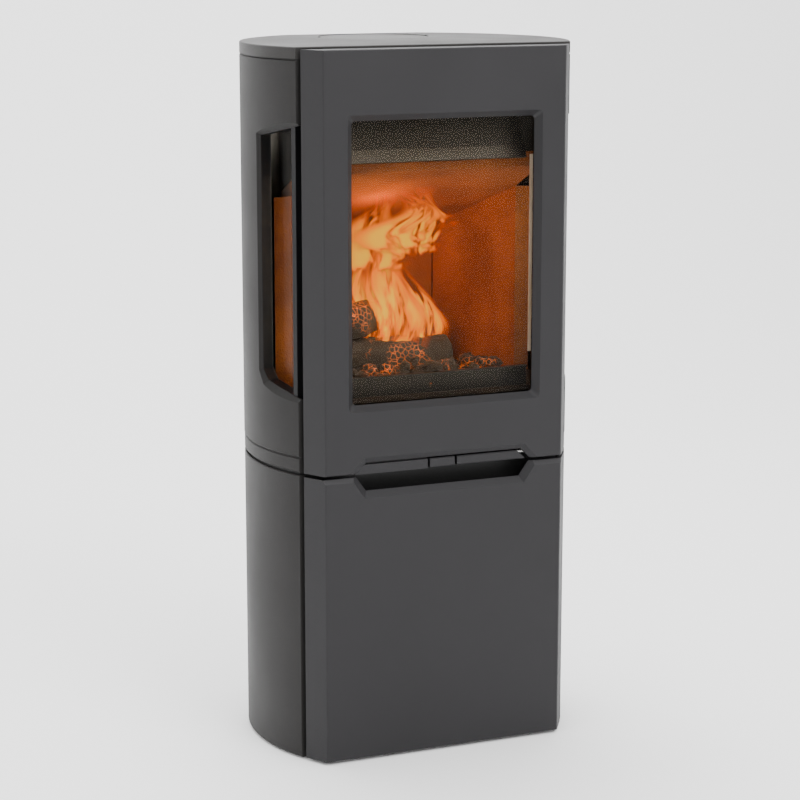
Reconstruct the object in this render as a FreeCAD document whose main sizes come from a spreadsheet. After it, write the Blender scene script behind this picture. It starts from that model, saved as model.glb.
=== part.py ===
"""Free-standing wood burning stove: cast-iron body on a closed pedestal.

Millimetres, +Z up. The origin is on the floor, in the middle of the bounding
box. The flat front faces -Y and +X is to the right of someone facing it.
Depths called "behind the front" are measured from the front plane along +Y.
"""
import FreeCAD
import Part
import Sketcher
import math
import os

doc = FreeCAD.newDocument("wood_stove")
sheet = doc.addObject("Spreadsheet::Sheet", "sizes")
Vector = FreeCAD.Vector


# ---------------------------------------------------------------- sizes

class Measure:
    """A number that keeps the spreadsheet formula it comes from."""

    def __init__(self, number, formula):
        self.number = number
        self.formula = formula

    def joined(self, sign, other, number):
        return Measure(number, "(%s %s %s)" % (self.formula, sign, other.formula))

    def __add__(self, other):
        other = measure(other)
        return self.joined("+", other, self.number + other.number)

    def __sub__(self, other):
        other = measure(other)
        return self.joined("-", other, self.number - other.number)

    def __mul__(self, other):
        other = measure(other)
        return self.joined("*", other, self.number * other.number)

    def __truediv__(self, other):
        other = measure(other)
        return self.joined("/", other, self.number / other.number)

    def __radd__(self, other):
        return measure(other) + self

    def __rsub__(self, other):
        return measure(other) - self

    def __rmul__(self, other):
        return measure(other) * self

    def __neg__(self):
        return 0 - self

    def root(self):
        return Measure(math.sqrt(self.number), "sqrt(%s)" % self.formula)


def measure(value):
    if isinstance(value, Measure):
        return value
    return Measure(float(value), "%.6f" % value)


def size(alias, value, meaning):
    """Write one driving dimension on the next line of the sheet."""
    size.row += 1
    sheet.set("A%d" % size.row, meaning)
    sheet.set("B%d" % size.row, str(value))
    sheet.setAlias("B%d" % size.row, alias)
    return Measure(float(value), "sizes.%s" % alias)


size.row = 0

# outside
height = size("overall_height", 1045, "floor to the top of the top plate")
depth = size("overall_depth", 380, "front plane to the flat back")
radius = size("body_radius", 243.5, "round sides in plan")
centre_set = size("centre_setback", 162, "centre of the round sides behind the front")
front_half = size("front_half", 186, "half the width of the flat front")
wing_depth = size("wing_depth", 34, "how far the door cheeks reach back")
groove = size("side_groove", 8, "shadow groove behind the door cheeks")
floor_gap = size("floor_gap", 3, "side castings above the floor")
back_ends = depth - size("back_rebate", 14, "side castings end ahead of the flat back")

# heights
pedestal_top = size("pedestal_top", 432, "top of the pedestal side castings")
shadow_gap = size("shadow_gap", 4.5, "shadow line between pedestal and firebox base")
band = size("base_band", 21, "edge height of the base casting")
fine_gap = size("fine_gap", 1.6, "hairline gap between castings")
top_edge = size("top_edge", 16.5, "edge height of the top plate")
door_drop = size("door_drop", 3, "door top below the top of the top plate")

# walls
shell_wall = size("shell_wall", 8, "side castings")
post_line = size("post_line", 194, "corner posts from the middle, less the side casting's wall")
door_wall = size("door_wall", 11, "front plate of the fire door")
cheek_wall = size("cheek_wall", 5, "door cheeks")
sheet_steel = size("sheet_steel", 3, "folded steel sheet")
thin_sheet = size("thin_sheet", 2, "rear panels and retainers")
plate_wall = size("plate_wall", 6, "frame and floor plates")

# fire door window
window_low = size("window_low", 527, "lower edge of the window above the floor")
window_high = size("window_high", 951, "upper edge of the window above the floor")
window_bevel = size("window_bevel", 9, "width of the bevel round the window")
window_round = size("window_round", 6, "corner radius of the window")
pane = size("pane", 4, "ceramic glass")
rope = size("rope", 3, "squashed thickness of the glass rope")

# handle recess
recess_half = size("recess_half", 148, "half width of the recess at the door's edge")
recess_rise = size("recess_rise", 23, "height of the recess into the door")
recess_run = size("recess_run", 22, "sideways run of the sloping ends of a recess")
recess_bevel = size("recess_bevel", 8, "bevel round the recess")
recess_set = size("recess_set", 5, "bars set back from the front")
bar_depth = size("bar_depth", 16, "handle bar front to back")
bar_low = size("bar_low", 435.2, "underside of the bars above the floor")
bar_high = size("bar_high", 448.6, "top of the bars above the floor")
knob_left = size("knob_left", -22.5, "left side of the air knob")
knob_right = size("knob_right", 16.5, "right side of the air knob")
bar_gap = size("bar_gap", 3.8, "gap beside the air knob")
handle_tip = size("handle_tip", 130, "right end of the handle bar")
pedestal_recess = size("pedestal_recess", 31, "depth of the recess in the pedestal door")

# side windows, measured in the window's own plane
side_angle = size("side_angle", 18.2, "side window turned towards the front, degrees")
side_rear = size("side_rear", 41, "rear edge of the side window behind its middle")
side_front = size("side_front", 30, "front edge of the glass opening ahead of its middle")
side_low = size("side_low", 554, "lower edge of the side window at its middle")
side_high = size("side_high", 925, "upper edge of the side window at its middle")
side_flare = size("side_flare", 0.22, "slope of the upper and lower edges")
side_bevel = size("side_bevel", 9, "bevel round the side window")
side_tunnel = size("side_tunnel", 13, "depth of the side window casing")
casing_rim = size("casing_rim", 8, "rim of the side window casing")

# firebox
frame_set = size("frame_set", 47, "front frame behind the front")
mouth_half = size("mouth_half", 163, "half width of the firebox mouth")
window_half = mouth_half - size("window_inset", 13, "window narrower than the mouth on each side")
mouth_low = size("mouth_low", 478, "lower edge of the firebox mouth")
mouth_high = size("mouth_high", 965, "upper edge of the firebox mouth")
brick = size("brick", 25, "firebricks")
brick_front = size("brick_front", 158, "front of the side bricks behind the front")
brick_rear = depth - size("brick_rear_set", 58, "rear of the side bricks ahead of the back")
brick_wide = size("brick_wide", 180, "half distance between side bricks at the front")
brick_narrow = size("brick_narrow", 112, "half distance between side bricks at the rear")
hearth_level = size("hearth_level", 528, "underside of the hearth plate")
hearth_wall = size("hearth_wall", 8, "hearth plate and grate")
baffle_low = size("baffle_low", 748, "underside of the baffle at the rear")
baffle_high = size("baffle_high", 862, "underside of the baffle at the front")
grate_half = size("grate_half", 75, "half width of the grate")
grate_near = size("grate_near", 120, "near edge of the grate behind the front")
grate_far = brick_rear - size("grate_rear_gap", 72, "far edge of the grate ahead of the brick ends")

# flue
flue_bore = size("flue_bore", 75, "radius of the rear flue outlet")
collar_flange = depth - size("collar_reach", 15, "flue collar's flange ahead of the flat back")
flue_level = height - flue_bore - size("flue_rim", 40, "metal above the flue bore")
cover_set = depth - size("cover_rear_set", 90, "centre of the top cover ahead of the back")
cover_edge = size("cover_edge", 83, "radius of the top cover")
cover_hole = size("cover_hole", 71, "radius of the hole below the top cover")

# hinges and latch
hinge_half = size("hinge_half", 186, "hinge axis left of the middle")
hinge_set = size("hinge_set", 21, "hinge axis behind the front")
hinge_pin = size("hinge_pin", 3, "radius of the hinge pins")
running = size("running_fit", 0.05, "radial clearance of turning fits")
clear = size("moving_gap", 0.4, "clearance between parts that move apart")
shaft_set = size("shaft_set", 16.5, "latch shaft behind the front")
shaft_level = size("shaft_level", 445, "latch shaft above the floor")
shaft = size("shaft", 3, "radius of the latch shaft")

# storage space and feet
shelf_level = size("shelf_level", 12, "underside of the pedestal floor")
foot_pad = size("foot_pad", 17, "radius of the foot pads")
pan_half = size("pan_half", 92, "half width of the ash pan")
pan_near = size("pan_near", 52, "front of the ash pan behind the front")
pan_far = grate_far + size("pan_reach", 12, "ash pan reaching behind the grate")
pan_low = size("pan_low", 481, "underside of the ash pan")
pan_high = size("pan_high", 518, "rim of the ash pan")

doc.recompute()

front = -depth / 2
centre_y = front + centre_set
base_low = pedestal_top + shadow_gap
base_high = base_low + band
shell_low = base_high + fine_gap
top_under = height - top_edge
shell_high = top_under - fine_gap
door_high = height - door_drop
shell_front = wing_depth + groove
pane_near = door_wall + rope
pane_far = pane_near + pane
back_set = depth - 2


def behind(distance):
    """Y of a point this far behind the front plane."""
    return front + distance


def half_chord(circle, distance):
    """Half width of a circle of the plan, this far behind the front."""
    offset = centre_set - distance
    return (circle * circle - offset * offset).root()


door_edge = half_chord(radius, wing_depth)
tip_reach = door_edge - hinge_half
tip_rise = wing_depth - hinge_set
sweep_back = hinge_set + (tip_reach * tip_reach + tip_rise * tip_rise).root() + clear


# ---------------------------------------------------------------- tools

nodes = []
cuts = []


def bind(feature, name, value):
    feature.setExpression(name, measure(value).formula)


def node(feature, label):
    """Give a finished sub-part its name and mark it for writing."""
    feature.Label = label
    nodes.append(feature)
    return feature


def new_body(name):
    return doc.addObject("PartDesign::Body", name)


def draw_outline(sketch, corners):
    """Closed outline. A corner is (x, y), or (x, y, bend) where the edge to the
    next corner is an arc of that radius; bulge_left says which way it turns."""
    edges = []
    for index, corner in enumerate(corners):
        following = corners[(index + 1) % len(corners)]
        start = Vector(measure(corner[0]).number, measure(corner[1]).number, 0)
        end = Vector(measure(following[0]).number, measure(following[1]).number, 0)
        if len(corner) == 2:
            place = sketch.addGeometry(Part.LineSegment(start, end), False)
            edges.append((place, 1, 2))
            continue
        bend = measure(corner[2]).number
        chord = end - start
        rise = math.sqrt(bend * bend - chord.Length * chord.Length / 4)
        left = Vector(-chord.y, chord.x, 0) / chord.Length
        turn = 1 if corner[3] == "left" else -1
        centre = (start + end) * 0.5 + left * rise * turn
        first, last = (start, end) if turn > 0 else (end, start)
        circle = Part.Circle(centre, Vector(0, 0, 1), bend)
        angles = [math.atan2(point.y - centre.y, point.x - centre.x) for point in (first, last)]
        place = sketch.addGeometry(Part.ArcOfCircle(circle, angles[0], angles[1]), False)
        limit = sketch.addConstraint(Sketcher.Constraint("Radius", place, bend))
        bind(sketch, "Constraints[%d]" % limit, corner[2])
        edges.append((place, 1, 2) if turn > 0 else (place, 2, 1))
    for index, corner in enumerate(corners):
        place, begin, _ = edges[index]
        before, _, finish = edges[index - 1]
        sketch.addConstraint(Sketcher.Constraint("Coincident", before, finish, place, begin))
        for kind, value in (("DistanceX", corner[0]), ("DistanceY", corner[1])):
            number = measure(value).number
            limit = sketch.addConstraint(Sketcher.Constraint(kind, place, begin, number))
            bind(sketch, "Constraints[%d]" % limit, value)


def draw_circle(sketch, x, y, bend):
    """Circle fixed by its centre and radius."""
    place = Vector(measure(x).number, measure(y).number, 0)
    circle = Part.Circle(place, Vector(0, 0, 1), measure(bend).number)
    ring = sketch.addGeometry(circle, False)
    for kind, value in (("DistanceX", x), ("DistanceY", y)):
        number = measure(value).number
        limit = sketch.addConstraint(Sketcher.Constraint(kind, ring, 3, number))
        bind(sketch, "Constraints[%d]" % limit, value)
    limit = sketch.addConstraint(Sketcher.Constraint("Radius", ring, measure(bend).number))
    bind(sketch, "Constraints[%d]" % limit, bend)


def level_edge(edge, level):
    """True for an edge that lies at one height."""
    return all(abs(point.Point.z - measure(level).number) < 1e-4 for point in edge.Vertexes)


def rim_edge(edge, circle, *levels):
    """True for an edge on a circle of the plan at one of some heights."""
    bend = measure(circle).number
    for level in levels:
        ends = [point.Point for point in edge.Vertexes]
        on_rim = [abs(math.hypot(end.x, end.y - centre_y.number) - bend) < 1e-3 for end in ends]
        if all(on_rim) and level_edge(edge, level) and edge.Length > 20:
            return edge.Curve.TypeId == "Part::GeomCircle"
    return False


def face_edge(edge):
    """True for an edge of the flat front's outline."""
    ends = [point.Point for point in edge.Vertexes]
    return all(abs(end.y - front.number) < 1e-4 for end in ends)


def soften(body, amount, wanted):
    """Break the chosen edges with a small chamfer."""
    base = body.Tip
    doc.recompute()
    names = ["Edge%d" % (count + 1) for count, edge in enumerate(base.Shape.Edges) if wanted(edge)]
    feature = body.newObject("PartDesign::Chamfer", body.Name + "_chamfer")
    feature.Base = (base, names)
    bind(feature, "Size", amount)
    body.Tip = feature
    cuts.append((base, feature))
    return feature


# plane normal to the axis, and the sign that turns a position into an offset
PLANES = {"x": ("YZ_Plane", 1), "y": ("XZ_Plane", -1), "z": ("XY_Plane", 1)}


def new_sketch(body, axis, position, *outlines):
    """Sketch square to an axis. Outlines are corner lists or (x, y, radius)
    circles. Its own x, y are X, Y for axis z; X, Z for y; Y, Z for x."""
    role, sign = PLANES[axis]
    plane = [item for item in body.Origin.OriginFeatures if item.Role == role][0]
    sketch = body.newObject("Sketcher::SketchObject", body.Name + "_sketch")
    sketch.AttachmentSupport = [(plane, "")]
    sketch.MapMode = "FlatFace"
    bind(sketch, "AttachmentOffset.Base.z", measure(position) * sign)
    for outline in outlines:
        if isinstance(outline, tuple):
            draw_circle(sketch, *outline)
        else:
            draw_outline(sketch, outline)
    return sketch


def pad(body, axis, low, high, *outlines):
    """Add material between two positions along an axis."""
    start = high if axis == "y" else low
    feature = body.newObject("PartDesign::Pad", body.Name + "_pad")
    feature.Profile = new_sketch(body, axis, start, *outlines)
    bind(feature, "Length", measure(high) - low)
    body.Tip = feature
    return feature


def pocket(body, axis, low, high, *outlines):
    """Take material away between two positions along an axis."""
    start = low if axis == "y" else high
    before = body.Tip
    feature = body.newObject("PartDesign::Pocket", body.Name + "_pocket")
    feature.Profile = new_sketch(body, axis, start, *outlines)
    bind(feature, "Length", measure(high) - low)
    body.Tip = feature
    cuts.append((before, feature))
    return feature


def flare(body, axis, near, near_outline, far, far_outline):
    """Take away a bevelled opening that runs from one outline to another."""
    before = body.Tip
    feature = body.newObject("PartDesign::SubtractiveLoft", body.Name + "_flare")
    feature.Profile = new_sketch(body, axis, near, near_outline)
    feature.Sections = [new_sketch(body, axis, far, far_outline)]
    feature.Ruled = True
    body.Tip = feature
    cuts.append((before, feature))
    return feature


def plate(label, axis, low, high, *outlines):
    """Sub-part that is one outline with a thickness."""
    body = new_body(label)
    pad(body, axis, low, high, *outlines)
    return node(body, label)


def box_outline(left, right, low, high):
    return [(left, low), (right, low), (right, high), (left, high)]


def round_box(left, right, low, high, bend):
    """Rectangle with round corners."""
    return [
        (left + bend, low), (right - bend, low, bend, "left"),
        (right, low + bend), (right, high - bend, bend, "left"),
        (right - bend, high), (left + bend, high, bend, "left"),
        (left, high - bend), (left, low + bend, bend, "left"),
    ]


def rod(name, axis, x, y, z, bend, length):
    """Round bar from (x, y, z) along +axis."""
    turns = {"x": (Vector(0, 1, 0), 90), "y": (Vector(1, 0, 0), -90), "z": (Vector(0, 0, 1), 0)}
    bar = doc.addObject("Part::Cylinder", name)
    bar.Placement = FreeCAD.Placement(Vector(), FreeCAD.Rotation(*turns[axis]))
    bind(bar, "Radius", bend)
    bind(bar, "Height", length)
    for letter, value in (("x", x), ("y", y), ("z", z)):
        bind(bar, "Placement.Base." + letter, value)
    return bar


def boolean(kind, name, base, tool):
    feature = doc.addObject("Part::" + kind, name)
    feature.Base = base
    feature.Tool = tool
    return feature


def group(label, parts):
    """Like pieces that share one node, as separate solids."""
    feature = doc.addObject("Part::Compound", label)
    feature.Links = parts
    return node(feature, label)


def screw(name, x, y, z, length, head, thread, tall):
    """Screw along Y through a thin sheet whose near side is at y; the head is
    on the sheet's far side and the stem runs forwards."""
    top = rod(name + "_head", "y", x, y + thin_sheet, z, head, tall)
    stem = rod(name + "_stem", "y", x, y - length, z, thread, length + thin_sheet)
    return boolean("Fuse", name, top, stem)


# ---------------------------------------------------------------- side castings

def side_wall(side, outer, inner, near, far):
    """Plan outline of a round wall between two depths behind the front."""
    turns = ("left", "right") if side > 0 else ("right", "left")
    return [
        (half_chord(outer, near) * side, behind(near), outer, turns[0]),
        (half_chord(outer, far) * side, behind(far)),
        (half_chord(inner, far) * side, behind(far), inner, turns[1]),
        (half_chord(inner, near) * side, behind(near)),
    ]


def place_in_window(feature, side):
    """Move a piece drawn in the side window's frame to its place. The frame's
    x runs along the wall, its y is up and its z points out of the stove."""
    upright = FreeCAD.Rotation(Vector(1, 0, 0), 90)
    slant = side_angle.number
    around = FreeCAD.Rotation(Vector(0, 0, 1), side * (90 - slant))
    feature.Placement = FreeCAD.Placement(Vector(), around * upright)
    reach_x = Measure(math.cos(math.radians(slant)), "cos(%s * 1 deg)" % side_angle.formula)
    reach_y = Measure(math.sin(math.radians(slant)), "sin(%s * 1 deg)" % side_angle.formula)
    bind(feature, "Placement.Base.x", radius * reach_x * side)
    bind(feature, "Placement.Base.y", centre_y - radius * reach_y)
    return feature


def window_outline(side, grow, ahead):
    """Side window outline in its own frame, grown outwards by a margin and
    open at the front to the given reach."""
    rear = -(side_rear + grow)
    upper = side_high + grow
    lower = side_low - grow
    slope = side_flare
    trim = 12 + grow * 0.5
    outline = [
        (rear, upper + rear * slope),
        (rear, lower - rear * slope + trim),
        (rear + trim, lower - (rear + trim) * slope),
        (ahead, lower - ahead * slope),
        (ahead, upper + ahead * slope),
    ]
    return [(x * -side, y) for x, y in outline]


def upper_shell(side, label):
    """Round side casting with a bevelled window that is open at its front."""
    wall = new_body(label + "_wall")
    pad(wall, "z", base_high, top_under, side_wall(side, radius, radius - shell_wall,
                                                   shell_front, back_ends))
    neck = side_wall(side, radius + 1, radius - 2.4, shell_front - 5, back_ends + 5)
    pocket(wall, "z", base_high - 1, shell_low, neck)
    pocket(wall, "z", shell_high, top_under + 1, neck)
    soften(wall, 1.5, lambda edge: rim_edge(edge, radius, shell_low, shell_high))
    opening = new_body(label + "_opening")
    proud = 12
    inner = window_outline(side, measure(0), measure(75))
    outer = window_outline(side, side_bevel + proud, measure(75))
    pad(opening, "z", -45, -side_bevel + 1, inner)
    cone = opening.newObject("PartDesign::AdditiveLoft", label + "_bevel")
    cone.Profile = new_sketch(opening, "z", -side_bevel, inner)
    cone.Sections = [new_sketch(opening, "z", measure(proud), outer)]
    cone.Ruled = True
    opening.Tip = cone
    place_in_window(opening, side)
    return node(boolean("Cut", label, wall, opening), label)


def window_piece(label, side, near, far, grow_out, grow_in, trimmed=False):
    """Frame-like piece or pane of the side window between two depths."""
    piece = new_body(label + "_frame" if trimmed else label)
    outer = window_outline(side, grow_out, side_front + grow_out)
    pad(piece, "z", near, far, outer)
    if grow_in is not None:
        inner = window_outline(side, grow_in, side_front + grow_in)
        pocket(piece, "z", near - 1, far + 1, inner)
    place_in_window(piece, side)
    if label.endswith("rope"):
        return piece
    if not trimmed:
        return node(piece, label)
    core = rod(label + "_core", "z", 0, centre_y, side_low - 60, radius - shell_wall,
               side_high - side_low + 120)
    return node(boolean("Common", label, piece, core), label)


def side_windows():
    ropes = []
    for side, word in ((-1, "left"), (1, "right")):
        back = -(shell_wall + side_tunnel + 4)
        window_piece(word + "_window_casing", side, back, measure(0), casing_rim, measure(0), True)
        ropes.append(window_piece(word + "_window_rope", side, back - rope, back,
                                  casing_rim - 1, measure(1.5)))
        window_piece(word + "_side_glass", side, back - rope - pane, back - rope, casing_rim - 2,
                     None)
    group("side_glass_ropes", ropes)


# ---------------------------------------------------------------- top and base

def full_plan(inset, near):
    """Whole plan outline from a depth behind the front to the flat back."""
    circle = radius - inset
    side_near = half_chord(circle, near)
    side_far = half_chord(circle, depth - inset)
    return [
        (-side_near, behind(near)), (side_near, behind(near), circle, "left"),
        (side_far, behind(depth - inset)), (-side_far, behind(depth - inset), circle, "left"),
    ]


def sweep_notch(body, low, high):
    """Room for the edge of the door's cheek as it turns round the hinge."""
    side = tip_reach - 4
    pocket(body, "z", low, high, box_outline(-hinge_half - side, -hinge_half + side,
                                             behind(shell_front - 1), behind(sweep_back)))


def top_plate():
    """Thick cast plate with the seat of the round cover."""
    body = new_body("top_plate")
    pad(body, "z", top_under, height, full_plan(measure(0), shell_front))
    soften(body, 1.2, lambda edge: level_edge(edge, height))
    sweep_notch(body, top_under - 1, door_high + clear)
    seat = height - 4.6
    middle = behind(cover_set)
    notch = cover_edge + 2
    pocket(body, "z", seat, height + 1, (measure(0), middle, cover_edge + 1))
    pocket(body, "z", seat, height + 1, (-notch, middle, measure(6)))
    pocket(body, "z", seat, height + 1, (notch, middle, measure(6)))
    pocket(body, "z", top_under - 1, height, (measure(0), middle, cover_hole + 1))
    return node(body, "top_plate")


def flue_cover():
    """Loose round lid over the unused top outlet."""
    body = new_body("flue_cover")
    middle = behind(cover_set)
    seat = height - 4.6
    pad(body, "z", seat + clear, height - 0.8, (measure(0), middle, cover_edge))
    pad(body, "z", seat - 7, seat + clear, (measure(0), middle, cover_hole))
    return node(body, "flue_cover")


def base_plate():
    """Cast base that carries the firebox; its edge shows as a band."""
    body = new_body("base_plate")
    pad(body, "z", base_low, base_high, full_plan(measure(0.6), shell_front))
    soften(body, 1.5, lambda edge: rim_edge(edge, radius - 0.6, base_low, base_high))
    hollow = full_plan(shell_wall + 4, shell_front + 9)
    pocket(body, "z", base_low - 1, base_high - 7, hollow)
    rod_level = (bar_low + bar_high) / 2
    middle = (knob_left + knob_right) / 2
    pocket(body, "y", behind(shell_front - 1), behind(shell_front + 12), (middle, rod_level, 5.2))
    pocket(body, "z", base_low, base_high + 1, (middle, behind(115), 24))
    sweep_notch(body, base_low - 1, base_high + 1)
    return node(body, "base_plate")


# ---------------------------------------------------------------- doors

def door_plan():
    """Shallow box of a door in plan: flat front, flat cheeks."""
    edge = door_edge
    slant = (edge - front_half) / wing_depth
    turn = (slant * slant + 1).root()
    inner_front = front_half + slant * door_wall - cheek_wall * turn
    inner_edge = edge - cheek_wall * turn
    return [
        (-front_half, front), (front_half, front), (edge, behind(wing_depth)),
        (inner_edge, behind(wing_depth)), (inner_front, behind(door_wall)),
        (-inner_front, behind(door_wall)), (-inner_edge, behind(wing_depth)),
        (-edge, behind(wing_depth)),
    ]


def door_lid():
    return [(-front_half, front), (front_half, front), (door_edge, behind(wing_depth)),
            (-door_edge, behind(wing_depth))]


def recess(level, rise, inset, way):
    """Trapezoid recess outline in the front, opening up or down from a level."""
    slope = recess_run / rise
    reach = recess_half - inset * (slope * slope + 1).root()
    top = reach - slope * (rise - inset)
    return [
        (-reach - slope * 2, level - way * 2), (reach + slope * 2, level - way * 2),
        (top, level + way * (rise - inset)), (-top, level + way * (rise - inset)),
    ]


def hinge_boss(body, low, high):
    """Boss round the hinge axis, bored for its pin."""
    axis_x = -hinge_half
    axis_y = behind(hinge_set)
    inside = behind(door_wall - 0.5)
    pad(body, "z", low, high, [
        (axis_x - 10, axis_y - 3), (axis_x - 2, inside), (axis_x + 6.4, inside),
        (axis_x + 6.4, axis_y + 4), (axis_x + 3, axis_y + 6.4), (axis_x - 4, axis_y + 6.4),
        (axis_x - 11, axis_y + 3),
    ])
    pocket(body, "z", low - 1, high + 1, (axis_x, axis_y, hinge_pin + running))


def top_reach():
    """Half width of the recess at the top of the bars."""
    slope = recess_run / recess_rise
    reach = recess_half - (recess_bevel - 1) * (slope * slope + 1).root()
    return reach - slope * (bar_high - base_low)


def fire_door():
    """Cast fire door: bevelled window, cheeks, top flange, rear rib, left bar."""
    body = new_body("fire_door")
    low = base_low
    pad(body, "z", low, door_high, door_plan())
    pad(body, "z", door_high - 5, door_high, door_lid())
    soften(body, 1.3, face_edge)
    inner_half = window_half - window_bevel
    outer = round_box(-window_half, window_half, window_low, window_high, window_round)
    inner = round_box(-inner_half, inner_half, window_low + window_bevel,
                      window_high - window_bevel, window_round)
    flare(body, "y", front, outer, behind(door_wall - 1), inner)
    pocket(body, "y", behind(door_wall - 2), behind(door_wall + 1), inner)
    flare(body, "y", front, recess(low, recess_rise, measure(0), 1), behind(recess_set),
          recess(low, recess_rise, recess_bevel, 1))
    pocket(body, "y", behind(recess_set - 1), behind(door_wall + 1),
           recess(low, recess_rise, recess_bevel, 1))
    bar_outline = recess(low, recess_rise, recess_bevel - 1, 1)
    bar_end = knob_left - bar_gap
    pad(body, "y", behind(recess_set), behind(door_wall), [
        bar_outline[0], (bar_end, bar_outline[0][1]), (bar_end, bar_high), (-top_reach(), bar_high)])
    rib_half = mouth_half + 9
    rib = round_box(-rib_half, rib_half, mouth_low - 9, mouth_high + 9, measure(8))
    hollow = round_box(-mouth_half, mouth_half, mouth_low, mouth_high, measure(4))
    pad(body, "y", behind(door_wall), behind(frame_set - rope), rib, hollow)
    hinge_boss(body, 452.6, 468)
    hinge_boss(body, 971.4, 989.4)
    return node(body, "fire_door")


def pedestal_door():
    """Plain cast door of the storage space, with a finger recess on top."""
    body = new_body("pedestal_door")
    low = floor_gap + 2
    high = pedestal_top - 1
    pad(body, "z", low, high, door_plan())
    soften(body, 1.3, face_edge)
    edge_set = 5
    edge_drop = 6.5
    wide = front_half + 40
    pocket(body, "x", -wide, wide, [(front - 1, high - edge_drop - 1.3), (front + edge_set, high),
                                    (front + edge_set, high + 2), (front - 1, high + 2)])
    flare(body, "y", front, recess(high, pedestal_recess, measure(0), -1), behind(9),
          recess(high, pedestal_recess, recess_bevel + 1, -1))
    pocket(body, "y", behind(8), behind(door_wall + 1),
           recess(high, pedestal_recess, recess_bevel + 1, -1))
    hinge_boss(body, 28.6, 46)
    hinge_boss(body, 376, 394.4)
    return node(body, "pedestal_door")


def hinge_bracket(name, low, rear):
    """Fixed arm with the hinge pin's hole, reaching round the door cheek."""
    axis_x = -hinge_half
    axis_y = behind(hinge_set)
    body = new_body(name)
    pad(body, "z", low, low + 8, [
        (axis_x - 5.4, axis_y - 1.5), (axis_x - 3.2, axis_y - 5), (axis_x + 31, axis_y - 5),
        (axis_x + 31, behind(rear)), (axis_x + 20.5, behind(rear)), (axis_x + 20.5, axis_y + 1),
        (axis_x + 4, axis_y + 4), (axis_x, axis_y + 5.6), (axis_x - 4.6, axis_y + 3),
    ])
    pocket(body, "z", low - 1, low + 9, (axis_x, axis_y, hinge_pin))
    return body


def hinges(label, rows):
    """Brackets and pins of one door. A row is the bracket's level, the pin's
    lower end and length, and the depth of the face the bracket stands on."""
    brackets = []
    pins = []
    for count, (level, foot, tall, rear) in enumerate(rows):
        brackets.append(hinge_bracket("%s_bracket_%d" % (label, count), measure(level), rear))
        pins.append(rod("%s_pin_%d" % (label, count), "z", -hinge_half, behind(hinge_set),
                        measure(foot), hinge_pin, measure(tall)))
    group(label + "_hinge_brackets", brackets)
    group(label + "_hinge_pins", pins)


# ---------------------------------------------------------------- door glass and latch

def ring(label, near, far, half_out, low, high, rim, bend=5):
    """Flat frame round the window, square to Y."""
    outer = round_box(-half_out, half_out, low, high, measure(bend + 1))
    inner = round_box(-half_out + rim, half_out - rim, low + rim, high - rim, measure(bend))
    return plate(label, "y", near, far, outer, inner)


def door_fittings():
    half = window_half + 4
    low = window_low - 4
    high = window_high + 4
    ring("glass_rope", behind(door_wall), behind(pane_near), half - 1, low + 1, high - 1, 9)
    plate("door_glass", "y", behind(pane_near), behind(pane_far),
          round_box(-half + 1, half - 1, low + 1, high - 1, measure(4)))
    retainer = ring("glass_retainer", behind(pane_far), behind(pane_far + thin_sheet),
                    half + 7, low - 4, high + 4, 17)
    bolts = []
    for side in (-1, 1):
        for count, level in enumerate((560, 740, 920)):
            name = "retainer_screw_%d_%d" % (side + 1, count)
            bolts.append(screw(name, side * (half + 3), behind(pane_far), level,
                               pane_far - door_wall, 2.6, 1.5, 2))
            pocket(retainer, "y", behind(pane_far - 1), behind(pane_far + thin_sheet + 1),
                   (side * (half + 3), measure(level), 1.5))
    group("retainer_screws", bolts)
    ring("door_rope", behind(frame_set - rope), behind(frame_set - clear), mouth_half + 7,
         mouth_low - 7, mouth_high + 7, 5)


def coil(bend, wire, pitch, length):
    """Wire wound round the Z axis."""
    path = Part.Wire(Part.makeHelix(pitch, length, bend))
    profile = Part.Wire(Part.makeCircle(wire, Vector(bend, 0, 0), Vector(0, 1, 0)))
    return path.makePipeShell([profile], True, True)


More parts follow.
